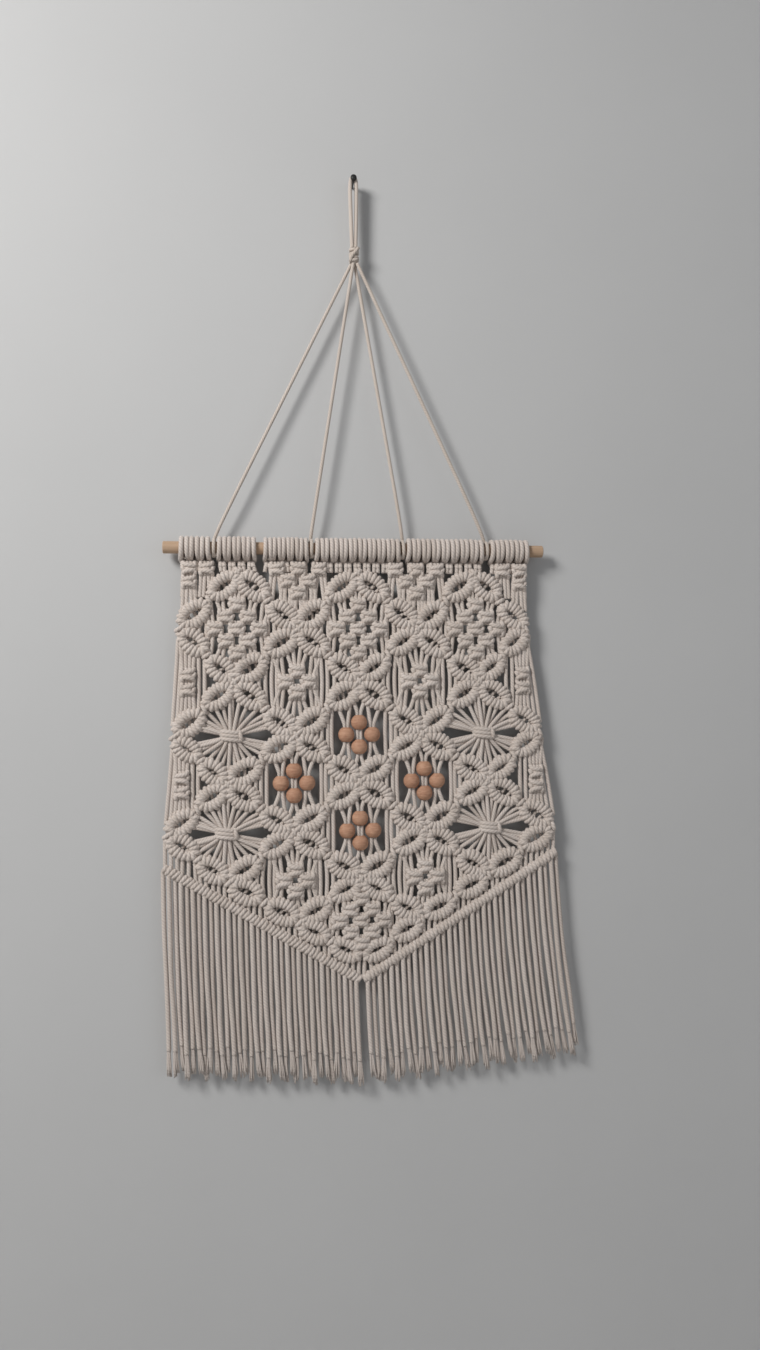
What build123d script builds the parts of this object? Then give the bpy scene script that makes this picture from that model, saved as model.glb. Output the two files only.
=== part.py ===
from build123d import *
import os
from math import cos, hypot, pi, radians, sin, tan

# Knotted cotton wall hanging (macrame): a wooden dowel hung from a nail by a corded
# hanger, with a lattice panel of knotted leaves, nets, sheaves and wooden beads, a
# V-shaped lower border and a fringe.  Millimetres.  +Z is up, the front faces -Y, and
# the origin is the point where the nail bears on the inside of the hanger's loop.

# --- driving dimensions -----------------------------------------------------------
CORD = 4.0                # panel cord
ROPE = 3.5                # thin twisted hanger rope
CORD_PITCH = 5.6          # strands side by side
GAP = 0.3                 # between neighbouring soft solids
NAIL = 3.0                # nail the loop is made for

DOWEL_D = 12.0
DOWEL_LENGTH = 380.0
DOWEL_Z = -378.0
ROD_FIT = 0.05            # running clearance of the knots on the dowel

KNOT_TOP = -70.0          # hanger knot
KNOT_HEIGHT = 17.0
KNOT_D = 10.5
ROPE_FEET = (-141.0, -45.7, 45.7, 131.0)    # where the ropes reach the dowel
HITCH_LENGTH = 5.4

PANEL_TOP_WIDTH = 348.0
HEAD_PITCH = 9.25         # lark's head knots on the dowel
BARE_DOWEL = (-96.5, 7.6)  # middle and width of a stretch without knots
HEAD_WRAP = 4.0           # cord round the dowel
HEAD_BOTTOM = -394.0

# The lattice: columns half a cell apart, rows half a cell apart.
ROW_PITCH = (59.0, 59.5, 61.0, 62.5, 64.5, 65.0, 64.0, 60.5, 60.0)
ROW_Z = (-401.5, -457.5, -509.5, -562.0, -608.5, -656.0, -702.5, -743.0, -781.0)
LAST_COLUMN = (3, 3, 3, 3, 3, 3, 2, 1, 0)   # outermost column of each row
EDGE_COLUMN = 3
LEFT_EDGE = (174.0, 179.5, 186.0)      # outermost crossings of rows 1, 3 and 5
RIGHT_EDGE = (171.0, 183.0, 195.0)

LEAF_WIDTH = 0.57         # of its own length
LEAF_DEPTH = 9.0
LEAF_TIP = 0.8            # bare cord at each end of a leaf
NET_DEPTH = 9.0
NET_INSET = 12.6          # from a lattice edge to a net

BEAD_D = 16.0
BEAD_BORE = 7.2
BEAD_RISE = 12.0          # top and bottom bead from the cell's centre
BEAD_SIDE = 12.8          # side beads from the cell's centre
BEAD_CORD = 3.4           # cord squeezed into a bead
PAIR = 1.75               # half the spacing of the two cords in a bead

SHEAF_STRANDS = 14
SHEAF_CORD = 3.1          # cord drawn thin where it fans out of the waist
SHEAF_BAND = (25.0, 11.0, 12.0)
SIDE_STRANDS = (26.5, 32.0, 37.5)          # beside the beads, from the cell's middle
CELL_REACH = 55.0         # no strand in a cell is longer
CLUSTER_KNOT = (13.0, 9.0, 11.0)
CLUSTER_RISE = 11.4
CLUSTER_SIDE = 12.0
SINNET_KNOT = (11.0, 9.0, 24.0)

BORDER_TIP_Z = -801.0
BORDER_SLOPE = 0.602
BORDER_REACH = {-1: 191.0, 1: 199.0}   # left and right of the middle
BORDER_D = 10.0           # the thick round row of hitches along the V
BORDER_SPLIT = 0.4        # half the gap between the border's halves

FRINGE_STRANDS = 34       # on each side
FRINGE_D = 4.2
FRINGE_INNER = 5.6        # innermost strand from the middle
FRINGE_DRIFT = 4.0        # how far to the right the middle strands' feet hang
FRINGE_FLARE = {-1: 7.0, 1: 18.0}      # and the outermost ones' on each side
FRINGE_LAYER = 2.6        # front and back layer from the panel's middle plane
FRINGE_MIDDLE_Z = -897.0
FRINGE_SIDE_Z = -880.0

BEAD_CELLS = ((0, 3), (-1, 4), (1, 4), (0, 5))
NET_CELLS = ((-2, 1), (0, 1), (2, 1), (0, 7))
CLUSTER_CELLS = ((-1, 2), (1, 2), (-1, 6), (1, 6))
SHEAF_CELLS = ((-2, 3), (2, 3), (-2, 5), (2, 5))
EDGE_CELLS = ((-3, 2), (3, 2), (-3, 4), (3, 4))


# --- lattice ----------------------------------------------------------------------
def vertex(column, row):
    """Where the cords of four leaves cross: (x, z)."""
    x = column * ROW_PITCH[row]
    if column == -EDGE_COLUMN:
        x = -LEFT_EDGE[row // 2]
    if column == EDGE_COLUMN:
        x = RIGHT_EDGE[row // 2]
    return (x, ROW_Z[row])


def cell(column, row):
    """A cell's centre: (x, z)."""
    return (column * ROW_PITCH[row], ROW_Z[row])


def edges(row):
    """The lattice edges between a row of crossings and the next one down."""
    found = []
    last = LAST_COLUMN[row]
    for column in range(-last, last + 1):
        if (column + row) % 2:
            continue
        for side in (-1, 1):
            if abs(column + side) <= LAST_COLUMN[row + 1]:
                found.append((vertex(column, row), vertex(column + side, row + 1)))
    return found


def border_z(x):
    """Height of the border's middle line."""
    return BORDER_TIP_Z + BORDER_SLOPE * abs(x)


# --- solids -----------------------------------------------------------------------
def prism(points, depth):
    """A plate with the given (x, z) outline, centred on the panel's middle plane."""
    outline = Polyline(*[(x, 0, z) for x, z in points], close=True)
    return extrude(make_face(outline), amount=depth / 2, dir=(0, 1, 0), both=True)


def leaf_outline(start, end):
    """A pointed leaf, widest at its middle, from one point to another."""
    length = hypot(end[0] - start[0], end[1] - start[1])
    along = ((end[0] - start[0]) / length, (end[1] - start[1]) / length)
    across = (-along[1], along[0])
    half = LEAF_WIDTH * length / 2

    def at(distance, side):
        return (start[0] + along[0] * distance + across[0] * side,
                start[1] + along[1] * distance + across[1] * side)

    shoulder = 0.46 * length
    return [at(LEAF_TIP, 0), at(shoulder, half), at(length - shoulder, half),
            at(length - LEAF_TIP, 0), at(length - shoulder, -half), at(shoulder, -half)]


def leaf_outlines(row):
    """Two leaves, end to end, along each lattice edge below a row of crossings."""
    outlines = []
    for start, end in edges(row):
        middle = ((start[0] + end[0]) / 2, (start[1] + end[1]) / 2)
        outlines += [leaf_outline(start, middle), leaf_outline(middle, end)]
    return outlines


def distance(point, outline):
    """How far a point outside an outline is from it."""
    nearest = []
    for (ax, az), (bx, bz) in zip(outline, outline[1:] + outline[:1]):
        run = (bx - ax, bz - az)
        share = ((point[0] - ax) * run[0] + (point[1] - az) * run[1]) / (run[0] ** 2 + run[1] ** 2)
        share = min(1.0, max(0.0, share))
        nearest.append(hypot(point[0] - ax - share * run[0], point[1] - az - share * run[1]))
    return min(nearest)


def reach_leaf(start, toward, radius=CORD / 2):
    """Where a strand that leaves start toward a point meets the first leaf."""
    length = hypot(toward[0] - start[0], toward[1] - start[1])
    step = ((toward[0] - start[0]) / length, (toward[1] - start[1]) / length)
    near = [o for o in ALL_LEAVES if distance(start, o) < CELL_REACH]
    gone = 0.0
    while gone < CELL_REACH:
        point = (start[0] + step[0] * gone, start[1] + step[1] * gone)
        if min(distance(point, o) for o in near) < radius + GAP:
            break
        gone += 0.5
    return point


def rod(start, end, diameter):
    """A straight round strand between two points."""
    axis = Vector(*end) - Vector(*start)
    return Solid.make_cylinder(diameter / 2, axis.length, Plane(start, z_dir=axis))


def corner_radii(points, share=0.45):
    """The largest tangent arc that each corner of a cord's route has room for."""
    radii = []
    for before, here, after in zip(points, points[1:], points[2:]):
        into, out = Vector(*here) - Vector(*before), Vector(*after) - Vector(*here)
        turn = radians(into.get_angle(out))
        radii.append(share * min(into.length, out.length) / tan(turn / 2))
    return radii


def tube(points, diameter, share=0.45):
    """A cord along straight runs joined by tangent arcs."""
    path = FilletPolyline(*points, radius=corner_radii(points, share))
    start = Plane(path @ 0, z_dir=path % 0)
    solid = sweep(start * Circle(diameter / 2), path=path)
    expected = pi * diameter ** 2 / 4 * path.length
    if abs(solid.volume / expected - 1) > 0.01:
        print("tube volume differs from section x length:", solid.volume, expected)
    return solid


def flat_rod(start, end, y=0.0, diameter=CORD):
    """A straight strand between two (x, z) points."""
    return rod((start[0], y, start[1]), (end[0], y, end[1]), diameter)


def save(name, solids):
    """Writes one node, a single solid or a group of separate ones."""
    parts = [s for item in solids for s in item.solids()]
    shape = parts[0] if len(parts) == 1 else Compound(children=parts)
    export_step(shape, os.path.join("parts", name + ".step"))


# --- hanger -----------------------------------------------------------------------
def loop(y):
    """One hanger cord from the knot up, round the nail and down to the knot."""
    side = (NAIL + ROPE) / 2
    middle = -NAIL / 2
    high = side / cos(radians(30))
    foot = KNOT_TOP + GAP
    route = [(-PAIR, y, foot), (-side, y, middle - 20), (-side, y, middle + high / 2),
             (0, y, middle + high), (side, y, middle + high / 2),
             (side, y, middle - 20), (PAIR, y, foot)]
    return tube(route, ROPE, 0.49)


def make_hanger():
    save("hanger_loops", [loop(-ROPE / 2 - 0.1), loop(ROPE / 2 + 0.1)])
    knot = Pos(0, 0, KNOT_TOP - KNOT_HEIGHT / 2) * Cylinder(KNOT_D / 2, KNOT_HEIGHT)
    save("hanger_knot", [fillet(knot.edges(), 3.0)])
    knot_foot = KNOT_TOP - KNOT_HEIGHT - GAP
    hitch_r = DOWEL_D / 2 + ROD_FIT + ROPE
    for number, foot_x in enumerate(ROPE_FEET, 1):
        top_x = (-3.0, -1.0, 1.0, 3.0)[number - 1]
        top_y = (1.9, -1.9, 1.9, -1.9)[number - 1]
        foot = (foot_x, 0, DOWEL_Z + hitch_r + GAP + 0.6)
        save(f"hanger_rope_{number}", [rod((top_x, top_y, knot_foot - 1.2), foot, ROPE)])
    save("rope_hitches", [ring(x, HITCH_LENGTH, ROPE) for x in ROPE_FEET])


def ring(x, length, thickness):
    """Cord wound round the dowel, as a round sleeve."""
    bore = DOWEL_D / 2 + ROD_FIT
    sleeve = Cylinder(bore + thickness, length) - Cylinder(bore, length + 1)
    return Pos(x, 0, DOWEL_Z) * Rot(0, 90, 0) * sleeve


def make_dowel():
    dowel = Rot(0, 90, 0) * Cylinder(DOWEL_D / 2, DOWEL_LENGTH)
    dowel = chamfer(dowel.edges().filter_by(GeomType.CIRCLE), 0.6)
    save("dowel", [Pos(0, 0, DOWEL_Z) * dowel])


# --- panel ------------------------------------------------------------------------
def head_places():
    """Middle and width of each lark's head: hitches and bare dowel part the row."""
    breaks = [(x, HITCH_LENGTH + 2 * GAP) for x in ROPE_FEET] + [BARE_DOWEL]
    ends = [-PANEL_TOP_WIDTH / 2]
    for x, width in sorted(breaks):
        ends += [x - width / 2, x + width / 2]
    ends.append(PANEL_TOP_WIDTH / 2)
    places = []
    for low, high in zip(ends[::2], ends[1::2]):
        count = round((high - low) / HEAD_PITCH)
        width = (high - low) / count
        places += [(low + width * (n + 0.5), width - GAP) for n in range(count)]
    return places


def make_larks_heads(places):
    heads = []
    drop = DOWEL_Z - HEAD_BOTTOM
    for x, width in places:
        bar = Box(width, 8.0, drop - 7.5)
        bar = Pos(x, -1.0, HEAD_BOTTOM + (drop - 7.5) / 2) * bar
        clear = Pos(x, 0, DOWEL_Z) * Rot(0, 90, 0) * Cylinder(DOWEL_D / 2 + ROD_FIT, width + 1)
        heads.append(ring(x, width, HEAD_WRAP) + bar - clear)
    save("larks_head_knots", heads)


def make_header(places):
    """What hangs straight below the lark's heads: nets and short strands."""
    nets = []
    top = HEAD_BOTTOM - GAP - 1.0
    for column in (-1, 1):
        x, z, half = column * ROW_PITCH[0], ROW_Z[0], ROW_PITCH[0]
        down = z - ROW_Z[1]
        share = 1 - NET_INSET * hypot(1 / half, 1 / down)
        nets.append(prism([(x, z - down * share), (x + half * share, z),
                           (x + half * share + 5, top), (x - half * share - 5, top),
                           (x - half * share, z)], NET_DEPTH))
    for side in (-1, 1):
        inner = 2 * ROW_PITCH[0] + 17
        outer = PANEL_TOP_WIDTH / 2
        nets.append(prism([(side * inner, top), (side * outer, top),
                           (side * outer, top - 40)], NET_DEPTH))
    save("header_nets", nets)
    strands = []
    for middle, width in places:
        for x in (middle - width / 4, middle + width / 4):
            aside = min(abs(x - column * ROW_PITCH[0]) for column in (-2, 0, 2))
            if aside < 8.5:
                strands.append(flat_rod((x, top), (x, ROW_Z[0] + 1.5 - 0.25 * aside)))
    save("header_strands", strands)


ALL_LEAVES = [outline for row in range(len(ROW_Z) - 1) for outline in leaf_outlines(row)]


def make_leaves():
    for row in range(len(ROW_Z) - 1):
        save(f"leaf_row_{row + 1}", [prism(o, LEAF_DEPTH) for o in leaf_outlines(row)])


def make_nets():
    """Dense nets of square knots that fill a cell."""
    nets = []
    for column, row in NET_CELLS:
        corners = [vertex(column, row - 1), vertex(column + 1, row),
                   vertex(column, row + 1), vertex(column - 1, row)]
        x, z = sum(c[0] for c in corners) / 4, sum(c[1] for c in corners) / 4
        share = 1 - NET_INSET / distance((x, z), corners)
        nets.append(prism([(x + (cx - x) * share, z + (cz - z) * share) for cx, cz in corners],
                          NET_DEPTH))
    save("knot_nets", nets)


def block(size, x, z, corner=2.5):
    body = Box(*size)
    return Pos(x, 0, z) * fillet(body.edges().filter_by(Axis.Z), corner)


def make_clusters():
    """Four square knots round a hole, with strands fanning to the leaves."""
    knots, strands = [], []
    tall = CLUSTER_KNOT[2]
    near = tall / 2 + GAP
    for column, row in CLUSTER_CELLS:
        x, z = cell(column, row)
        for dx, dz in ((0, CLUSTER_RISE), (-CLUSTER_SIDE, 0), (CLUSTER_SIDE, 0), (0, -CLUSTER_RISE)):
            knots.append(block(CLUSTER_KNOT, x + dx, z + dz))
        for side in (-1, 1):
            for up in (-1, 1):
                for foot, height, lean in ((2.6, CLUSTER_RISE + near + 1.0, 0.2),
                                           (9.2, near + 0.2, 0.05), (13.8, near + 0.9, 0.35)):
                    start = (x + side * foot, z + up * height)
                    end = reach_leaf(start, (start[0] + side * lean, start[1] + up))
                    strands.append(flat_rod(start, end))
    save("open_cluster_knots", knots)
    save("open_cluster_strands", strands)


def make_sheaves():
    """A tied waist with strands fanning out above and below it."""
    bands, strands = [], []
    wide, _, tall = SHEAF_BAND
    for column, row in SHEAF_CELLS:
        x, z = cell(column, row)
        bands.append(block(SHEAF_BAND, x, z, 4.0))
        for number in range(SHEAF_STRANDS):
            share = (number + 0.5) / SHEAF_STRANDS * 2 - 1
            layer = 2.4 if number % 2 else -2.4
            for up in (-1, 1):
                start = (x + share * (wide / 2 + 3.0), z + up * (tall / 2 + GAP + 1.8))
                end = reach_leaf(start, (start[0] + share * 1.05, start[1] + up))
                strands.append(flat_rod(start, end, layer, SHEAF_CORD))
    save("sheaf_knots", bands)
    save("sheaf_strands", strands)


def bead_places(column, row):
    """Bead centres of one cell: top, left, right and bottom."""
    x, z = cell(column, row)
    return [(x, z + BEAD_RISE), (x - BEAD_SIDE, z), (x + BEAD_SIDE, z), (x, z - BEAD_RISE)]


def bead_strand(column, row, offset, side, beads):
    """A cord of the pair that carries a cell's bead, or its top and bottom bead."""
    x, z = cell(column, row)
    inner = x + offset + side * PAIR
    rise = beads + BEAD_D / 2 + 4.0
    lean = side * (0.35 if side * offset >= 0 else 0.08)
    ends = []
    for up in (1, -1):
        start = (inner, z + up * rise)
        ends.append(reach_leaf(start, (inner + lean, start[1] + up), BEAD_CORD / 2))
    route = [(ends[0][0], 0, ends[0][1]), (inner, 0, z + rise),
             (inner, 0, z - rise), (ends[1][0], 0, ends[1][1])]
    return tube(route, BEAD_CORD)


def make_bead_cells():
    number = 0
    strands = []
    for index, (column, row) in enumerate(BEAD_CELLS, 1):
        cords = []
        for offset, beads in ((0, BEAD_RISE), (-BEAD_SIDE, 0), (BEAD_SIDE, 0)):
            cords += [bead_strand(column, row, offset, side, beads) for side in (-1, 1)]
        save(f"bead_cords_{index}", cords)
        for x, z in bead_places(column, row):
            number += 1
            bead = Sphere(BEAD_D / 2) - Cylinder(BEAD_BORE / 2, BEAD_D)
            save(f"bead_{number:02d}", [Pos(x, 0, z) * bead])
        x, z = cell(column, row)
        for offset in SIDE_STRANDS:
            strands += upright(x - offset, z) + upright(x + offset, z)
    save("bead_cell_strands", strands)


def upright(x, z, knot=0.0):
    """An upright strand through a cell, or its two ends above and below a knot."""
    top, bottom = reach_leaf((x, z), (x, z + 1)), reach_leaf((x, z), (x, z - 1))
    if not knot:
        return [flat_rod(top, bottom)]
    return [flat_rod(top, (x, z + knot)), flat_rod((x, z - knot), bottom)]


def make_sides():
    """The half cells along the panel's sides: upright strands and knotted sinnets."""
    knots, strands = [], []
    half_knot = SINNET_KNOT[2] / 2 + GAP
    for column, row in EDGE_CELLS:
        side = 1 if column > 0 else -1
        z = ROW_Z[row]
        edge = (vertex(column, row - 1)[0] + vertex(column, row + 1)[0]) / 2
        knots.append(block(SINNET_KNOT, edge - side * 10.5, z))
        strands += upright(edge - side * 20.8, z) + upright(edge - side * 1.8, z)
        for across in (7.9, 13.1):
            strands += upright(edge - side * across, z, half_knot)
    save("edge_sinnets", knots)
    save("edge_strands", strands)


# --- border and fringe ------------------------------------------------------------
def make_border():
    thick = BORDER_D / 2 * hypot(1, BORDER_SLOPE)
    strands = []
    for name, side in (("border_left", -1), ("border_right", 1)):
        reach = BORDER_REACH[side]
        past = (-side * BORDER_D, BORDER_TIP_Z - BORDER_SLOPE * BORDER_D)
        row = flat_rod(past, (side * reach, border_z(reach)), diameter=BORDER_D)
        other_half = Pos(side * (BORDER_SPLIT - 20), 0, BORDER_TIP_Z) * Box(40, 40, 60)
        save(name, [row - other_half])
        count = round(reach / CORD_PITCH)
        for number in range(count):
            x = side * (number + 0.5) * reach / count
            low = (x, border_z(x) + thick + GAP + BORDER_SLOPE * CORD / 2)
            high = reach_leaf(low, (x, low[1] + 1))
            if high[1] - low[1] > CORD / 2:
                strands.append(flat_rod(low, high))
    save("border_strands", strands)


def fringe_route(number, side):
    """A fringe strand's route, from under the border to its brushed end."""
    share = number / (FRINGE_STRANDS - 1)
    x = FRINGE_INNER + (BORDER_REACH[side] - 1.0 - FRINGE_INNER) * share
    thick = BORDER_D / 2 * hypot(1, BORDER_SLOPE)
    top = border_z(x) - thick - GAP - BORDER_SLOPE * FRINGE_D / 2
    foot = FRINGE_MIDDLE_Z + (FRINGE_SIDE_Z - FRINGE_MIDDLE_Z) * share
    foot += 4.0 * sin(2.3 * number + side)
    layer = FRINGE_LAYER if number % 2 else -FRINGE_LAYER
    drift = FRINGE_DRIFT + (FRINGE_FLARE[side] - FRINGE_DRIFT) * share
    runs = 4 if top - foot > 130 else 3
    route = []
    for n in range(runs + 1):
        down = n / runs
        sway = 1.5 * down * sin(1.9 * number + 2.4 * n + side) * min(1.0, number / 3)
        route.append((side * (x + sway) + drift * down ** 1.5, layer, top + (foot - top) * down))
    return route


def make_fringe():
    for name, side in (("fringe_left", -1), ("fringe_right", 1)):
        tubes = []
        for number in range(FRINGE_STRANDS):
            route = fringe_route(number, side)
            tubes.append(tube(route, FRINGE_D))
            if number % 11 == 0:
                print(name, number, "radii", [round(r) for r in corner_radii(route)])
        save(name, tubes)


def main():
    os.makedirs("parts", exist_ok=True)
    make_hanger()
    make_dowel()
    places = head_places()
    make_larks_heads(places)
    make_header(places)
    make_leaves()
    make_nets()
    make_clusters()
    make_sheaves()
    make_bead_cells()
    make_sides()
    make_border()
    make_fringe()


main()
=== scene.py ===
import math
import bpy
import numpy as np
from mathutils import Matrix, Vector


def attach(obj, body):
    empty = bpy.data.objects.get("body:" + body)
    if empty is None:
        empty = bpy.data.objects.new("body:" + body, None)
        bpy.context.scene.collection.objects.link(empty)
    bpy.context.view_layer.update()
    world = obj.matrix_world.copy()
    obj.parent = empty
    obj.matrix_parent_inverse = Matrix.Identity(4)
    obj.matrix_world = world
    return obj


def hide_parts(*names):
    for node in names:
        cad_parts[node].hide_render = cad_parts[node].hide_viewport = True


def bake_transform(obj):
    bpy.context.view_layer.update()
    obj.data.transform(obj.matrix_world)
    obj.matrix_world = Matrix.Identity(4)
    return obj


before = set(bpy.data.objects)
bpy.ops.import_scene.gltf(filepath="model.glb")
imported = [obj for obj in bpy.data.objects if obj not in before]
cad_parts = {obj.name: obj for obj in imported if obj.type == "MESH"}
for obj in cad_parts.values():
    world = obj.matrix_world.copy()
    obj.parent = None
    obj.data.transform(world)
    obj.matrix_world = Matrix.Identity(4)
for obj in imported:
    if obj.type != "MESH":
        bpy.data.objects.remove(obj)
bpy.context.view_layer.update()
rng = np.random.default_rng(7)
MM = 0.001


# --- sizes, in millimetres, as in the part's own source ---------------------------
CORD = 4.0
ROPE = 3.5
PLY_PITCH = 9.0           # length of one full turn of a cord's plies
DOWEL_Z = -378.0
DOWEL_R = 6.0
KNOT_TOP, KNOT_HEIGHT = -70.0, 17.0
ROPE_FEET = (-141.0, -45.7, 45.7, 131.0)
HITCH_LENGTH = 5.4
PANEL_TOP_WIDTH = 348.0
HEAD_PITCH = 9.25
BARE_DOWEL = (-96.5, 7.6)
ROW_PITCH = (59.0, 59.5, 61.0, 62.5, 64.5, 65.0, 64.0, 60.5, 60.0)
ROW_Z = (-401.5, -457.5, -509.5, -562.0, -608.5, -656.0, -702.5, -743.0, -781.0)
LAST_COLUMN = (3, 3, 3, 3, 3, 3, 2, 1, 0)
EDGE_COLUMN = 3
LEFT_EDGE, RIGHT_EDGE = (174.0, 179.5, 186.0), (171.0, 183.0, 195.0)
GAP = 0.3                  # between bodies
BORDER_TIP_Z = -801.0
BORDER_SLOPE = 0.602
BORDER_D = 10.0
BORDER_REACH = {-1: 191.0, 1: 199.0}
BEAD_CELLS = ((0, 3), (-1, 4), (1, 4), (0, 5))
NET_CELLS = ((-2, 1), (0, 1), (2, 1), (0, 7))
CLUSTER_CELLS = ((-1, 2), (1, 2), (-1, 6), (1, 6))
SHEAF_CELLS = ((-2, 3), (2, 3), (-2, 5), (2, 5))
EDGE_CELLS = ((-3, 2), (3, 2), (-3, 4), (3, 4))
BEAD_RISE, BEAD_SIDE, BEAD_R, PAIR = 12.0, 12.8, 8.0, 1.75
FRINGE_STRANDS, FRINGE_D = 34, 4.2
FRINGE_INNER, FRINGE_LAYER = 5.6, 2.6
FRINGE_DRIFT, FRINGE_FLARE = 4.0, {-1: 7.0, 1: 18.0}
FRINGE_MIDDLE_Z, FRINGE_SIDE_Z = -897.0, -880.0

# --- and the sizes that only the looks need ---------------------------------------
LAYER_SHARE = 0.5          # the limp strands lie closer together than their solids
TUFT_STEPS = 14            # steps of a fringe strand's line that are brushed out
LEAF_TURN = math.radians(7)
HITCH_CORE = 4.1           # radius of what fills a row of half hitches
NET_KNOT, HEADER_KNOT, SINNET_KNOT = 1.05, 0.98, 0.95   # sizes of the square knots
FRONT, BACK = 0.3, 0.8     # y of a cord where it leaves a knot and where it goes behind a leaf


# --- camera -----------------------------------------------------------------------
def make_camera():
    """At the photograph's viewing angle: a little left of the middle, nearly level."""
    data = bpy.data.cameras.new("camera")
    data.sensor_fit, data.sensor_width, data.lens = "AUTO", 36.0, 27.04
    data.dof.use_dof = False
    camera = bpy.data.objects.new("camera", data)
    bpy.context.scene.collection.objects.link(camera)
    yaw, pitch, roll = math.radians(7.8), math.radians(3.0), math.radians(-0.7)
    look = Vector((math.sin(yaw) * math.cos(pitch), math.cos(yaw) * math.cos(pitch), math.sin(pitch)))
    level = Vector((math.cos(yaw), -math.sin(yaw), 0.0))
    up = level.cross(look)
    right = level * math.cos(roll) + up * math.sin(roll)
    up = right.cross(look)
    camera.matrix_world = Matrix.Translation((-0.115, -0.996, -0.556)) @ Matrix(
        (right, up, -look)).transposed().to_4x4()
    bpy.context.scene.camera = camera


# --- lines ------------------------------------------------------------------------
def distances(line):
    """How far along a line each of its points is."""
    steps = np.linalg.norm(np.diff(line, axis=0), axis=1)
    return np.concatenate([[0], np.cumsum(steps)])


def evenly(line, step):
    """The same line with its points evenly spaced."""
    along = distances(line)
    at = np.linspace(0, along[-1], max(4, int(along[-1] / step) + 1))
    return np.stack([np.interp(at, along, line[:, k]) for k in range(3)], 1)


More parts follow.
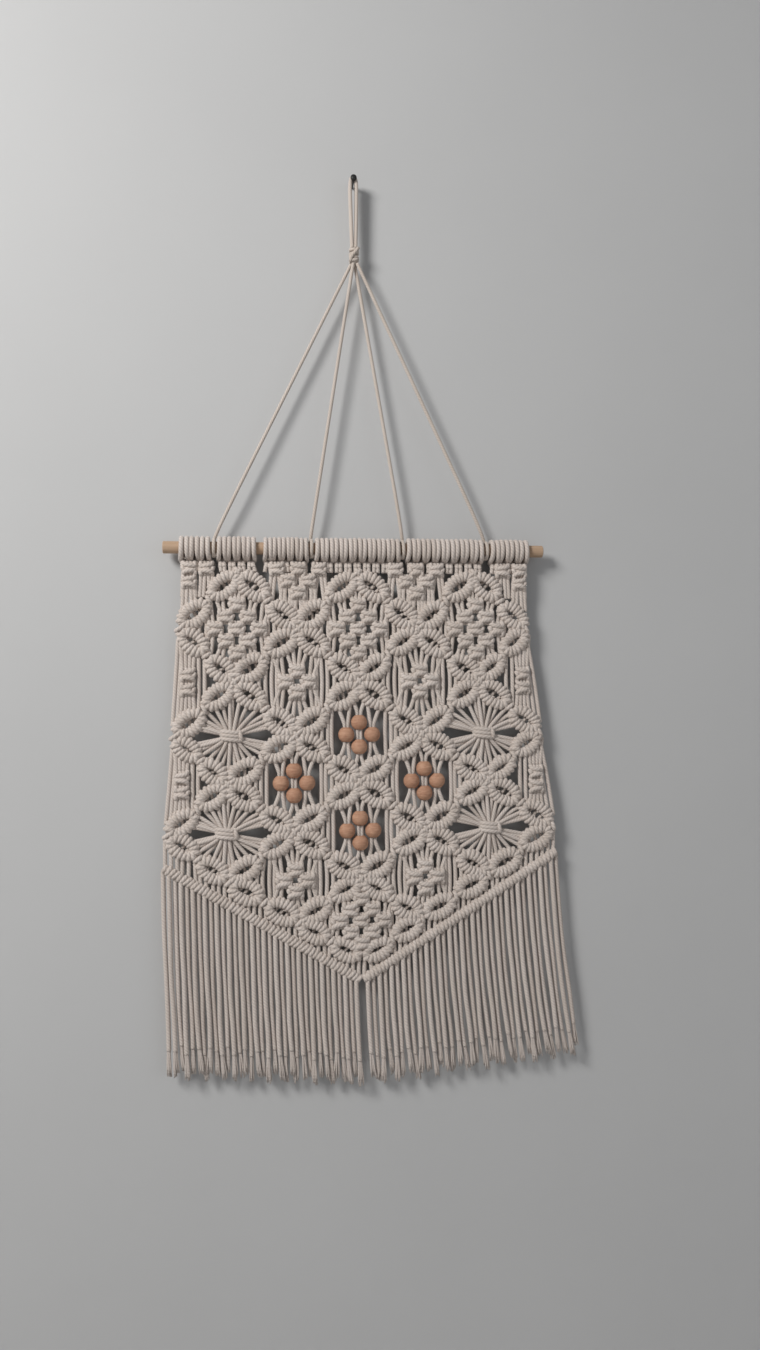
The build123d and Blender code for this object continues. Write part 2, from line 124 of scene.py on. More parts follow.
# --- yarn: many tubes in one mesh -------------------------------------------------
class Yarn:
    """Collects tubes and rings, in millimetres, into one mesh piece."""

    def __init__(self):
        self.points, self.faces, self.uvs, self.tints = [], [], [], []
        self.count = 0

    def grid(self, rings, along, closed, tint, caps=True):
        """Rings of points (n, sides, 3) joined into a tube; closed joins its ends."""
        n, sides, _ = rings.shape
        first = self.count
        self.points.append(rings.reshape(-1, 3))
        self.tints.append(np.full(n * sides, tint))
        self.count += n * sides
        i = np.arange(n if closed else n - 1)[:, None]
        j = np.arange(sides)[None, :]
        a, b = i * sides + j, i * sides + (j + 1) % sides
        c, d = ((i + 1) % n) * sides + (j + 1) % sides, ((i + 1) % n) * sides + j
        quads = np.stack(np.broadcast_arrays(a, b, c, d), -1).reshape(-1, 4) + first
        self.faces += quads.tolist()
        ends = np.append(along, along[-1] + (along[1] - along[0])) if closed else along
        u0, u1 = ends[i], ends[i + 1]
        v0, v1 = j / sides, (j + 1) / sides
        around_face = ((u0, v0), (u0, v1), (u1, v1), (u1, v0))
        corners = [np.stack(np.broadcast_arrays(u, v), -1) for u, v in around_face]
        self.uvs.append(np.stack(corners, 2).reshape(-1, 2))
        if caps and not closed:
            for ring, flip in ((0, True), (n - 1, False)):
                face = [first + ring * sides + k for k in range(sides)]
                self.faces.append(face[::-1] if flip else face)
                self.uvs.append(np.tile([[along[ring], 0.5]], (sides, 1)))

    def tube(self, path, radius, sides=8, lobes=0.0, tint=None):
        """A tube along a path; lobes is how deep the grooves between three plies are."""
        path = np.asarray(path, float)
        radius = np.broadcast_to(np.asarray(radius, float), len(path))
        tangent = np.gradient(path, axis=0)
        tangent /= np.linalg.norm(tangent, axis=1)[:, None]
        along = distances(path)
        side = np.cross(tangent[0], (0.0, 1.0, 0.0) if abs(tangent[0][1]) < 0.9 else (1.0, 0, 0))
        sideways = []
        for t in tangent:
            side = side - t * side.dot(t)
            side /= np.linalg.norm(side)
            sideways.append(side)
        sideways = np.array(sideways)
        other = np.cross(tangent, sideways)
        angle = np.linspace(0, 2 * np.pi, sides, endpoint=False)
        turn = angle[None, :] + 2 * np.pi * along[:, None] / PLY_PITCH
        size = radius[:, None] * (1 + lobes * np.cos(3 * turn))
        rings = (path[:, None] + size[..., None] * (np.cos(angle)[None, :, None] * sideways[:, None]
                 + np.sin(angle)[None, :, None] * other[:, None]))
        self.grid(rings, along, False, rng.uniform(-1, 1) if tint is None else tint)

    def ring(self, centre, axis, wide, deep, radius, sides=8, steps=14, tint=None, slant=0.0):
        """One turn of cord round an axis: half sizes wide (in the panel) and deep (in Y)."""
        axis = np.asarray(axis, float) / np.linalg.norm(axis)
        across = np.cross(axis, (0.0, 1.0, 0.0))
        across /= np.linalg.norm(across)
        outward = np.array([0.0, 1.0, 0.0])
        around = np.linspace(0, 2 * np.pi, steps, endpoint=False)
        cosine, sine = np.cos(around)[:, None], np.sin(around)[:, None]
        middle = np.asarray(centre) + wide * cosine * across + deep * sine * outward
        middle = middle + slant * cosine * axis
        normal = cosine * across * deep + sine * outward * wide
        normal /= np.linalg.norm(normal, axis=1)[:, None]
        angle = np.linspace(0, 2 * np.pi, sides, endpoint=False)
        rings = middle[:, None] + radius * (np.cos(angle)[None, :, None] * normal[:, None]
                                            + np.sin(angle)[None, :, None] * axis[None, None])
        length = np.pi * (wide + deep)
        self.grid(rings, around / (2 * np.pi) * length, True, rng.uniform(-1, 1) if tint is None else tint)

    def make(self, name, material):
        """The mesh object, in metres, with a cord's UV map and a tint for each strand."""
        mesh = bpy.data.meshes.new(name)
        mesh.from_pydata((np.concatenate(self.points) * MM).tolist(), [], self.faces)
        layer = mesh.uv_layers.new(name="cord")
        layer.data.foreach_set("uv", np.concatenate(self.uvs).astype(np.float32).ravel())
        tint = mesh.attributes.new("tint", "FLOAT", "POINT")
        tint.data.foreach_set("value", np.concatenate(self.tints).astype(np.float32))
        mesh.polygons.foreach_set("use_smooth", np.ones(len(mesh.polygons), bool))
        mesh.materials.append(material)
        made = bpy.data.objects.new(name, mesh)
        bpy.context.scene.collection.objects.link(made)
        return made

    def piece(self, name, material, body, slot, *nodes):
        """The mesh, with its material, as a piece of a body, in place of CAD nodes. The slot argument is
        not used.
        """
        made = self.make(name, material)
        if body:
            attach(made, body)
        if nodes:
            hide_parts(*nodes)
        return made


def smooth(points, step=1.6):
    """A quadratic B-spline through a knot's control points, evenly spaced, in millimetres."""
    p = np.asarray(points, float)
    p = np.concatenate([p[:1], p, p[-1:]])
    t = np.linspace(0, 1, 8, endpoint=False)[:, None]
    spans = [0.5 * ((1 - t) ** 2 * a + (1 + 2 * t - 2 * t * t) * b + t * t * c)
             for a, b, c in zip(p, p[1:], p[2:])]
    return evenly(np.concatenate(spans + [0.5 * (p[-2:-1] + p[-1:])]), step)


def nurbs_line(route, step=1.6):
    """Points along the NURBS spline of a cord's route, in millimetres."""
    curve = bpy.data.curves.new("route", "CURVE")
    curve.dimensions = "3D"
    spline = curve.splines.new("NURBS")
    spline.points.add(len(route) - 1)
    for point, place in zip(spline.points, route):
        point.co = (*(np.array(place) * MM), 1.0)
    spline.order_u, spline.use_endpoint_u = 3, True
    spline.resolution_u = 16
    bare = bpy.data.objects.new("route", curve)
    mesh = bpy.data.meshes.new_from_object(bare)
    line = np.array([v.co for v in mesh.vertices], float) / MM
    bpy.data.meshes.remove(mesh)
    bpy.data.objects.remove(bare)
    bpy.data.curves.remove(curve)
    return evenly(line, step)


# --- lattice ----------------------------------------------------------------------
def vertex(column, row):
    x = column * ROW_PITCH[row]
    if column == -EDGE_COLUMN:
        x = -LEFT_EDGE[row // 2]
    if column == EDGE_COLUMN:
        x = RIGHT_EDGE[row // 2]
    return np.array([x, ROW_Z[row]])


def cell_centre(column, row):
    return np.array([column * ROW_PITCH[row], ROW_Z[row]])


def cell_corners(column, row):
    """Top, right, bottom and left crossing of a cell.

    A side cell's outer one is far out, and so is a header cell's top one."""
    far = 60.0
    bottom = vertex(column, row + 1)
    top = vertex(column, row - 1) if row else np.array([bottom[0], ROW_Z[0] + far - 7.0])
    right = vertex(column + 1, row) if column < EDGE_COLUMN else cell_centre(column, row) + (far, 0)
    left = vertex(column - 1, row) if column > -EDGE_COLUMN else cell_centre(column, row) - (far, 0)
    return [top, right, bottom, left]


def edges(row):
    """The lattice edges between a row of crossings and the next one down."""
    found = []
    last = LAST_COLUMN[row]
    for column in range(-last, last + 1):
        if (column + row) % 2:
            continue
        for side in (-1, 1):
            if abs(column + side) <= LAST_COLUMN[row + 1]:
                found.append((vertex(column, row), vertex(column + side, row + 1)))
    return found


def border_z(x):
    return BORDER_TIP_Z + BORDER_SLOPE * abs(x)


def hit(column, row, start, direction, inset=2.5):
    """Where a strand from start meets the knots along its cell's sides: (x, z)."""
    corners = cell_corners(column, row)
    start, direction = np.asarray(start, float), np.asarray(direction, float)
    best = 60.0
    for a, b in zip(corners, corners[1:] + corners[:1]):
        run = b - a
        inward = np.array([run[1], -run[0]]) / np.linalg.norm(run)
        if inward.dot(cell_centre(column, row) - a) < 0:
            inward = -inward
        speed = -inward.dot(direction)
        if speed > 1e-6:
            best = min(best, (inward.dot(start - a) - inset) / speed)
    return start + direction * max(best, 0.5)


def lift(point, y=0.0):
    return (point[0], y, point[1])


# --- knots ------------------------------------------------------------------------
def half_hitch_row(yarn, line, pitch, wide, deep=3.1, radius=2.1, slant=0.7, taper=0.0):
    """Half hitches side by side along a lead cord; line is the cord's (x, z) path.

    taper is how much smaller the first and the last hitch are."""
    line = np.asarray(line, float)
    along = distances(line)

    def place(at):
        return np.array([np.interp(at, along, line[:, k]) for k in range(2)])

    count = max(2, round(along[-1] / pitch))
    for n in range(count):
        at = (n + 0.5) / count * along[-1]
        direction = place(min(at + 1, along[-1])) - place(max(at - 1, 0))
        from_end = min(at, along[-1] - at) / pitch
        size = rng.uniform(0.93, 1.07) * (1 - taper + taper * min(1.0, from_end / 2.0))
        yarn.ring(lift(place(at), rng.uniform(-0.3, 0.3)), lift(direction), wide * size, deep * size,
                  radius * rng.uniform(0.94, 1.06), slant=slant * rng.uniform(0.2, 1.8))
    yarn.tube([lift(spot) for spot in line], HITCH_CORE, sides=10, lobes=0.05)


def leaf(yarn, start, end):
    """An oval ring of half hitches round a narrow slit, with cords behind the slit.

    It lies a little flatter than the lattice edge it belongs to."""
    run, middle = end - start, (start + end) / 2
    length = np.linalg.norm(run)
    angle = math.atan2(run[1], run[0]) + math.copysign(LEAF_TURN, run[0])
    along = np.array([math.cos(angle), math.sin(angle)])
    across = np.array([-along[1], along[0]])
    middle = middle + rng.uniform(-0.7, 0.7, 2)
    around = np.linspace(0, 2 * math.pi, 57)[:, None]
    half, bow = 0.365 * length, 0.197 * rng.uniform(0.94, 1.08) * length
    line = middle + along * half * np.cos(around) + across * bow * np.sin(around)
    half_hitch_row(yarn, line, pitch=4.1, wide=3.6)
    for place in (-0.17, 0.0, 0.17):
        at = middle + along * length * (place + rng.uniform(-0.02, 0.02))
        reach = across * 0.15 * length + along * rng.uniform(0.5, 2.5)
        y = rng.uniform(3.0, 4.2)
        yarn.tube([lift(at - reach, y), lift(at, y), lift(at + reach, y)], 1.7, sides=8, lobes=0.06)


def square_knot(yarn, x, z, scale=1.0, flip=1):
    """A square knot: one cord crosses the front twice, the other goes behind it.

    Both go round two filler cords and a soft lump that closes the gaps between them."""
    front = [(-5.4, 0.6, 7.0), (-5.9, -2.4, 4.8), (-3.0, -4.4, 3.0), (2.5, -4.4, 2.5), (6.2, -1.6, 2.0),
             (6.6, 0.6, 0.0), (6.2, -1.6, -2.0), (2.5, -4.4, -2.5), (-3.0, -4.4, -3.0), (-5.9, -2.4, -4.8),
             (-5.4, 0.6, -7.0)]
    back = [(5.4, 0.6, 7.0), (6.0, -3.0, 4.6), (5.4, -3.4, 2.0), (3.0, 2.4, 1.2), (0, 4.4, 0.6),
            (-4.2, 3.4, 0.8), (-6.6, -0.6, 1.6), (-6.0, -3.8, 0.0), (-5.4, -1.0, -1.8),
            (0, 4.2, -2.2), (3.6, 3.2, -2.6), (6.2, -1.6, -2.2), (6.0, -3.4, -4.6), (5.4, 0.6, -7.0)]
    size = scale * rng.uniform(0.96, 1.04)
    for path in (front, back):
        path = np.array(path) * size * (flip, 1, 1)
        yarn.tube(smooth(path + (x, rng.uniform(-0.3, 0.3), z)), 2.3 * size, lobes=0.06, sides=9)
    lump = [(x + dx * size, y, z) for dx, y in ((-5, -0.6), (-3, -1.2), (0, -1.6), (3, -1.2), (5, -0.6))]
    yarn.tube(lump, np.array([1.6, 3.2, 3.7, 3.2, 1.6]) * size, sides=10)
    for dx in (-1.8, 1.8):
        yarn.tube([(x + dx * size, 0, z + 7.2 * size), (x + dx * size, -1.2, z),
                   (x + dx * size, 0, z - 7.2 * size)], 2.2 * size, sides=8)


def strand(yarn, start, end, y0=0.0, y1=0.0, bow=0.0, radius=CORD / 2):
    """A plain stretch of cord between two (x, z) points, bowed a little sideways."""
    start, end = np.asarray(start, float), np.asarray(end, float)
    middle = (start + end) / 2 + np.array([bow, 0.0])
    path = smooth([lift(start, y0), lift(middle, (y0 + y1) / 2), lift(end, y1)])
    yarn.tube(path, radius, lobes=0.07, sides=9)


def ports(x, z, up):
    """Where a square knot's four cords leave it, left to right."""
    return [(x + dx, z + up * 6.2) for dx in (-5.4, -1.8, 1.8, 5.4)]


def pair(cords, side):
    """The two left or the two right ones of a knot's four cords."""
    return cords[:2] if side < 0 else cords[2:]


def loose_pair(yarn, column, row, cords, side, up):
    """Two cords that run from a net's outer knot to the leaves round the cell."""
    for number, port in enumerate(cords):
        outer = number if side > 0 else 1 - number
        lean = side * (0.12 + 0.25 * outer)
        strand(yarn, port, hit(column, row, port, (lean, up)), FRONT, BACK)


def knot_net(yarn, column, row, knots, spread):
    """Alternating square knots; knots holds each one's (place, level) in half steps."""
    centre = cell_centre(column, row)
    spots = {(i, j): centre + (i * spread[0], j * spread[1]) for i, j in knots}
    for (i, j), (x, z) in spots.items():
        square_knot(yarn, x, z, NET_KNOT, flip=1 if (i + j) % 4 else -1)
        for up in (1, -1):
            for side in (-1, 1):
                cords = pair(ports(x, z, up), side)
                mate = spots.get((i + side, j + up))
                if mate is None:
                    loose_pair(yarn, column, row, cords, side, up)
                elif up > 0:
                    for here, there in zip(cords, pair(ports(*mate, -1), -side)):
                        strand(yarn, here, there, FRONT, FRONT)


# --- pieces of the panel ----------------------------------------------------------
def head_places():
    """Middle and width of each lark's head, in groups between hitches and bare dowel."""
    breaks = [(x, HITCH_LENGTH + 1.6) for x in ROPE_FEET] + [BARE_DOWEL]
    ends = [-PANEL_TOP_WIDTH / 2]
    for x, width in sorted(breaks):
        ends += [x - width / 2, x + width / 2]
    ends.append(PANEL_TOP_WIDTH / 2)
    groups = []
    for low, high in zip(ends[::2], ends[1::2]):
        count = round((high - low) / HEAD_PITCH)
        width = (high - low) / count
        groups.append([(low + width * (n + 0.5), width) for n in range(count)])
    return groups


def larks_head(yarn, x, width):
    """A doubled cord looped over the dowel, its bar behind it."""
    half = [(-1.5, 0.4, -19), (-1.5, -0.6, -16), (-1.9, -4.4, -11.0), (-2.35, -8.8, -3), (-2.4, -8.4, 5.2),
            (-2.4, -2.0, 9.8), (-2.4, 6.3, 8.4), (-2.45, 9.7, 0), (-2.7, 7.3, -7.2), (-3.4, 1.5, -10.2),
            (-3.6, -2.6, -11.0), (-2.6, -4.8, -13.0), (0, -5.6, -14.2)]
    half = np.array(half) * (width / 9.3, -1, 1)
    whole = np.concatenate([half, half[-2::-1] * (-1, 1, 1)])
    jitter = (x + rng.uniform(-0.2, 0.2), 0, DOWEL_Z + rng.uniform(-0.4, 0.4))
    yarn.tube(smooth(whole + jitter, 1.4), 2.25 * width / 9.3, lobes=0.07, sides=9)


def make_heads(cord):
    for number, group in enumerate(head_places(), 1):
        yarn = Yarn()
        for x, width in group:
            larks_head(yarn, x, width)
        nodes = ["larks_head_knots"] if number == 1 else []
        yarn.piece(f"larks_heads_{number}", cord, "panel", "cotton_cord", *nodes)


def header_spots(column):
    """Where the square knots of a half cell under the dowel are."""
    x, z = cell_centre(column, 0)
    if abs(column) == 1:
        steps = [(-2, 0), (0, 0), (2, 0), (-1, -1), (1, -1), (0, -2)]
        return [(x + i * 10.4, z + 3.0 + j * 11.4) for i, j in steps]
    side = 1 if column > 0 else -1
    return [(side * 148, z + 3), (side * 165, z + 3), (side * 165, z - 10)]


def make_header(cord):
    """Nets in the half cells under the dowel, and cords into the first leaves."""
    for number, column in enumerate((-3, -1, 1, 3), 1):
        yarn = Yarn()
        for n, (x, z) in enumerate(header_spots(column)):
            square_knot(yarn, x, z, HEADER_KNOT, flip=1 if n % 2 else -1)
            for port in ports(x, z, -1):
                lean = 0.12 if port[0] > x else -0.12
                inner_end = hit(column, 0, port, (lean, -1.0))
                side_end = (port[0] + lean * 10, port[1] - 22)
                strand(yarn, port, inner_end if abs(column) == 1 else side_end, FRONT, BACK)
        nodes = ["header_nets"] if number == 1 else []
        yarn.piece(f"header_net_{number}", cord, "panel", "cotton_cord", *nodes)
    yarn = Yarn()
    for x in [x + dx for group in head_places() for x, width in group for dx in (-1.9, 1.9)]:
        from_crossing = min(abs(x - column * ROW_PITCH[0]) for column in (-2, 0, 2))
        low = ROW_Z[0] - (5 if from_crossing < 14 else 0)
        from_bare = BARE_DOWEL[0] - x
        lean = 0.3 * from_bare if abs(from_bare) < 10 else 0.0
        strand(yarn, (x, -394.0), (x * 0.995 + lean, low), 0.0, 0.5)
    yarn.piece("header_tails", cord, "panel", "cotton_cord", "header_strands")


def make_leaves(cord):
    """Two leaves to each lattice edge, with a hitch where one leaf joins the next."""
    for row in range(len(ROW_Z) - 1):
        yarn = Yarn()
        for start, end in edges(row):
            middle = (start + end) / 2
            leaf(yarn, start, middle)
            leaf(yarn, middle, end)
            for spot in (start, middle):
                yarn.ring(lift(spot), lift(end - start), 3.8, 3.4, 2.1, slant=1.0)
        yarn.piece(f"leaves_{row + 1}", cord, "panel", "cotton_cord", f"leaf_row_{row + 1}")


def outer_strands(yarn, column, row, offsets):
    """Upright cords at both sides of a cell, bowed a little outwards."""
    for side in (-1, 1):
        for offset in offsets:
            middle = cell_centre(column, row) + (side * offset, 0)
            top, bottom = (hit(column, row, middle, (-side * 0.12, up)) for up in (1, -1))
            strand(yarn, top, bottom, BACK, BACK, bow=side * rng.uniform(0.5, 2.5))


def make_nets(cord):
    """The cells of nine square knots; those of the lowest cell are closer together."""
    nine = [(i - j, 2 - i - j) for i in range(3) for j in range(3)]
    for number, (column, row) in enumerate(NET_CELLS, 1):
        yarn = Yarn()
        knot_net(yarn, column, row, nine, (10.6, 10.8) if row > 2 else (10.6, 11.8))
        outer_strands(yarn, column, row, (31.5, 37.0, 42.0))
        nodes = ["knot_nets"] if number == 1 else []
        yarn.piece(f"net_{number}", cord, "panel", "cotton_cord", *nodes)


def make_clusters(cord):
    """The open cells of four square knots."""
    four = [(0, 1), (-1, 0), (1, 0), (0, -1)]
    for number, (column, row) in enumerate(CLUSTER_CELLS, 1):
        yarn = Yarn()
        knot_net(yarn, column, row, four, (11.0, 10.2))
        outer_strands(yarn, column, row, (22.5, 27.0, 32.5, 38.0))
        nodes = ["open_cluster_knots", "open_cluster_strands"] if number == 1 else []
        yarn.piece(f"open_cluster_{number}", cord, "panel", "cotton_cord", *nodes)


def sheaf_cord(yarn, column, row, share, layer):
    """A cord of a sheaf: fanned out above and below its waist; share runs from -1 to 1."""
    waist = cell_centre(column, row) + (share * 8.5, 0)
    ends = []
    for up in (1, -1):
        lean = share * (0.9 + 3.2 * share * share) + rng.uniform(-0.06, 0.06)
        end = hit(column, row, waist + (share * 2, up * 3), (lean, up))
        elbow = waist + (share * 3.5, up * (7.5 - 3.5 * abs(share)))
        ends.append([lift(end, 0.5), lift(elbow, layer)])
    line = ends[0] + [lift(waist, layer * 0.8)] + ends[1][::-1]
    yarn.tube(smooth(line), 1.9, lobes=0.07, sides=9)


def make_sheaves(cord):
    """Cords tied together in the middle of a cell and fanned out to its sides."""
    count = 14
    for number, (column, row) in enumerate(SHEAF_CELLS, 1):
        yarn = Yarn()
        centre = cell_centre(column, row)
        for n in range(count):
            sheaf_cord(yarn, column, row, (n + 0.5) / count * 2 - 1, 1.9 if n % 2 else -1.7)
        for side in (-1, 1):
            for rise in (-2.2, 2.2):
                start = centre + (side * 8, rise)
                strand(yarn, start, hit(column, row, start, (side, rise * 0.09)), 0.0, BACK, radius=1.9)
        for level in (-3.4, 0.2, 3.6):
            yarn.ring(lift(centre + (0, level)), (0.06, 0, 1), 9.6, 4.6, 2.1, steps=24, slant=0.6)
        yarn.ring(lift(centre + (9.2, 0)), (1, 0, 0.25), 5.0, 4.4, 2.0, steps=18)
        nodes = ["sheaf_knots", "sheaf_strands"] if number == 1 else []
        yarn.piece(f"sheaf_{number}", cord, "panel", "cotton_cord", *nodes)


def bead_cord(yarn, column, row, offset, side, beads):
    """One of the two cords through a bead, or through the top and bottom bead."""
    centre = cell_centre(column, row)
    inner = centre[0] + offset + side * PAIR * 0.95
    lean = side * (0.35 if side * offset >= 0 else 0.12)
    rise = beads + BEAD_R + 0.5
    path = []
    for up in (1, -1):
        start = np.array([inner, centre[1] + up * rise])
        end = hit(column, row, start, (lean, up))
        path.append([lift(end, BACK), lift(start + (lean * 1.5, up * 4.0)), lift(start)])
    line = smooth(path[0] + [(inner, 0.0, centre[1])] + path[1][::-1])
    squeezed = np.clip((np.abs(line[:, 2] - centre[1]) - rise) / 5.0, 0, 1)
    yarn.tube(line, 1.65 + 0.35 * squeezed, lobes=0.06, sides=9)


def make_bead_cells(cord):
    """The cords through the beads of each bead cell, and the upright cords beside them."""
    for number, (column, row) in enumerate(BEAD_CELLS, 1):
        yarn = Yarn()
        for offset, beads in ((0, BEAD_RISE), (-BEAD_SIDE, 0), (BEAD_SIDE, 0)):
            for side in (-1, 1):
                bead_cord(yarn, column, row, offset, side, beads)
        yarn.piece(f"bead_strings_{number}", cord, "panel", "cotton_cord", f"bead_cords_{number}")
        yarn = Yarn()
        centre = cell_centre(column, row)
        for offset in (26.0, 31.0, 36.5, 42.0):
            for side in (-1, 1):
                middle = centre + (side * offset, 0)
                top = hit(column, row, middle, (side * 0.03, 1))
                bottom = hit(column, row, middle, (side * 0.03, -1))
                strand(yarn, top, bottom, BACK, BACK, bow=rng.uniform(-1.2, 1.2))
        nodes = ["bead_cell_strands"] if number == 1 else []
        yarn.piece(f"bead_cell_sides_{number}", cord, "panel", "cotton_cord", *nodes)


def side_cell(yarn, column, row):
    """A knotted sinnet and the upright cords beside it, at the panel's edge."""
    side = 1 if column > 0 else -1
    z = ROW_Z[row]
    top_crossing, low_crossing = vertex(column, row - 1), vertex(column, row + 1)
    edge = (top_crossing[0] + low_crossing[0]) / 2
    sinnet = np.array([edge - side * 10.5, z])
    for level in (7.0, -7.0):
        square_knot(yarn, sinnet[0], z + level, SINNET_KNOT, flip=side)
    for dx in (-5.0, -1.7, 1.7, 5.0):
        for up in (1, -1):
            start = sinnet + (dx, up * 14.0)
            strand(yarn, start, hit(column, row, start, (dx * 0.02, up)), FRONT, BACK)
    for inset in (20.8, 26.5):
        middle = np.array([edge - side * inset, z])
        top, bottom = (hit(column, row, middle, (0, up)) for up in (1, -1))
        strand(yarn, top, bottom, BACK, BACK, bow=side * rng.uniform(-0.8, 0.8))
    for inset, drop in ((-1.5, 10.0), (3.2, 9.0)):
        top, bottom = top_crossing - (side * inset, drop), low_crossing - (side * inset, -drop)
        strand(yarn, top, bottom, BACK, BACK, bow=side * rng.uniform(-0.5, 1.0))


def make_sides(cord):
    for number, (column, row) in enumerate(EDGE_CELLS, 1):
        yarn = Yarn()
        side_cell(yarn, column, row)
        nodes = ["edge_sinnets", "edge_strands"] if number == 1 else []
        yarn.piece(f"side_cell_{number}", cord, "panel", "cotton_cord", *nodes)


# --- border and fringe ------------------------------------------------------------
def make_border(cord):
    """The two rows along the V, and the cords that run into them from the last leaves."""
    for name, side in (("left", -1), ("right", 1)):
        yarn = Yarn()
        line = [(side * x, border_z(x)) for x in np.linspace(1.5, BORDER_REACH[side] - 1, 60)]
        half_hitch_row(yarn, line, pitch=4.1, wide=3.4, deep=3.2, radius=2.05, slant=1.1, taper=0.28)
        yarn.piece(f"border_{name}_row", cord, "panel", "cotton_cord", f"border_{name}")
    yarn = Yarn()
    for side in (-1, 1):
        crossings = ((0, 8), (1, 7), (2, 6), (3, 5))
        lowest = np.array([vertex(side * column, row) for column, row in crossings])
        for n in range(FRINGE_STRANDS):
            x = side * (n + 0.5) * BORDER_REACH[side] / FRINGE_STRANDS
            top = np.interp(abs(x), np.abs(lowest[:, 0]), lowest[:, 1]) - 3
            strand(yarn, (x, top), (x + rng.uniform(-1, 1), border_z(x) + 2), BACK, 0.6)
    yarn.piece("border_cords", cord, "panel", "cotton_cord", "border_strands")


def fringe_route(number, side):
    """A fringe strand's route, from the border to its brushed end."""
    share = number / (FRINGE_STRANDS - 1)
    x = FRINGE_INNER + (BORDER_REACH[side] - 1.0 - FRINGE_INNER) * share
    thick = BORDER_D / 2 * math.hypot(1, BORDER_SLOPE)
    top = border_z(x) - thick - GAP - BORDER_SLOPE * FRINGE_D / 2
    foot = FRINGE_MIDDLE_Z + (FRINGE_SIDE_Z - FRINGE_MIDDLE_Z) * share
    foot += 4.0 * math.sin(2.3 * number + side)
    layer = FRINGE_LAYER if number % 2 else -FRINGE_LAYER
    drift = FRINGE_DRIFT + (FRINGE_FLARE[side] - FRINGE_DRIFT) * share
    runs = 4 if top - foot > 130 else 3
    route = []
    for n in range(runs + 1):
        down = n / runs
        sway = 1.5 * down * math.sin(1.9 * number + 2.4 * n + side) * min(1.0, number / 3)
        route.append((side * (x + sway) + drift * down ** 1.5, layer, top + (foot - top) * down))
    return route


def brush(yarn, end, direction, tint):
    """The loose yarn that a cut cord opens into."""
    lean = np.array([rng.uniform(-0.8, 0.8), 0, 0])
    for _ in range(20):
        angle, out = rng.uniform(0, 2 * np.pi), rng.uniform(0.1, 1.0) ** 0.6
        outward = np.array([np.cos(angle), np.sin(angle) * 0.7, 0]) * out
        length = rng.uniform(18, 24.5)
        path = [end + outward * 1.0 - direction * 3, end + outward * 1.8 + direction * length * 0.3,
                end + outward * 2.6 + lean * 0.4 + direction * length * 0.7,
                end + outward * 2.8 + lean + direction * length]
        path = smooth(path, 4.0)
        paler = tint * 0.5 + rng.uniform(0.1, 0.9)
        yarn.tube(path, np.linspace(1.0, 0.45, len(path)), sides=4, tint=paler)


def fringe_strand(line):
    """A strand along its line, its top inside the border and its end brushed out."""
    tint = rng.uniform(-1, 1)
    yarn = Yarn()
    cut = len(line) - TUFT_STEPS
    x, y, z = line[0]
    path = np.concatenate([[(x, y * 0.6, z + 3.6)], line[:cut]])
    yarn.tube(smooth(path), 2.25, lobes=0.09, sides=9, tint=tint)
    fall = line[-1] - line[cut - 1]
    brush(yarn, line[cut - 1], fall / np.linalg.norm(fall), tint)
    return yarn


def make_fringe(cord):
    """The strands hang from under the border in soft curves, each one a piece of its own."""
    for name, side in (("left", -1), ("right", 1)):
        for number in range(FRINGE_STRANDS):
            line = nurbs_line([(x, y * LAYER_SHARE, z) for x, y, z in fringe_route(number, side)])
            yarn = fringe_strand(line)
            nodes = [f"fringe_{name}"] if number == FRINGE_STRANDS - 1 else []
            made = yarn.piece(f"fringe_{name}_{number + 1:02d}", cord, None, "cotton_cord", *nodes)
            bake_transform(made)


# --- hanger -----------------------------------------------------------------------
def make_loops(rope):
    """The two loops over the nail, one behind the other."""
    yarn = Yarn()
    side, middle = 3.25, -1.5
    high = side / math.cos(math.radians(30))
    foot = KNOT_TOP - 1.0
    for y in (-ROPE / 2 - 0.1, ROPE / 2 + 0.1):
        rising = [(-PAIR, y, foot), (-side, y, middle - 20), (-side, y, middle + high / 2)]
        falling = [(-x, y, z) for x, y, z in rising[::-1]]
        route = rising + [(0, y, middle + high)] + falling
        yarn.tube(nurbs_line(route, 1.0), ROPE / 2, lobes=0.09, sides=9)
    yarn.piece("hanger_loop_cords", rope, "hanger", "hanger_rope", "hanger_loops")


def make_hanger_knot(rope):
    """Four tight turns round the ropes, one end crossing their front."""
    yarn = Yarn()
    half = ROPE / 2
    top, bottom = KNOT_TOP, KNOT_TOP - KNOT_HEIGHT
    for level, tilt in ((-3.5, 0.2), (-7.0, -0.15), (-10.5, 0.25), (-14.0, -0.2)):
        yarn.ring((0, 0, top + level), (tilt, 0, 1), 3.6, 3.6, half, sides=9, steps=20)
    crossing = [(-4, -3, -16), (-3, -5.2, -11), (1, -5.6, -7), (4, -4, -2)]
    yarn.tube(smooth([(x, y, top + z) for x, y, z in crossing]), half, sides=9, lobes=0.09)
    yarn.tube([(0, 0, top - 0.5), (0, 0, bottom)], 3.0, sides=10)
    yarn.piece("hanger_overhand_knot", rope, "hanger", "hanger_rope", "hanger_knot")


